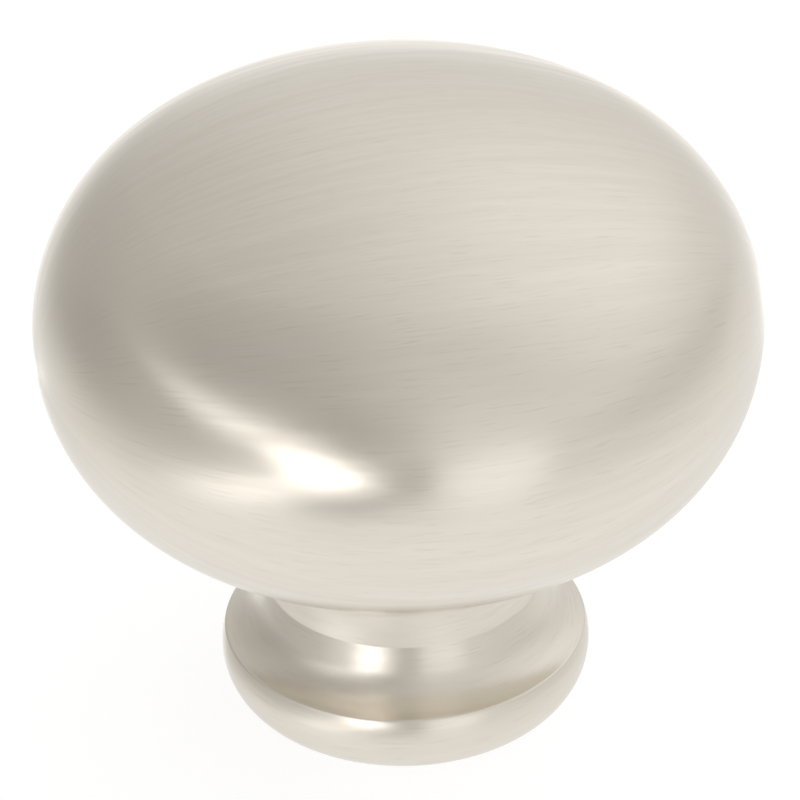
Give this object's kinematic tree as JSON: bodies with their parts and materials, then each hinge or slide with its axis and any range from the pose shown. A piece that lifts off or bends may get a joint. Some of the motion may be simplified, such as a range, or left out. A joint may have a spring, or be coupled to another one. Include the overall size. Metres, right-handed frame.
{
  "type": "cabinet knob",
  "caption": "Round mushroom knob for a drawer or cabinet door, with a domed head, a hollowed neck, a rounded foot and a tapped hole for a fixing screw.",
  "frame": {"origin": "centre of the foot's flat mounting face, where the screw hole opens", "axes": "+Z along the knob's axis, from the mounting face up to the crown; X and Y lie in the mounting face"},
  "size_m": [0.0318, 0.0318, 0.0294],
  "materials": {
    "satin_nickel": "satin nickel plate over cast zinc, finely brushed"
  },
  "bodies": {
    "root": {"knob": "satin_nickel"}
  },
  "joints": []
}
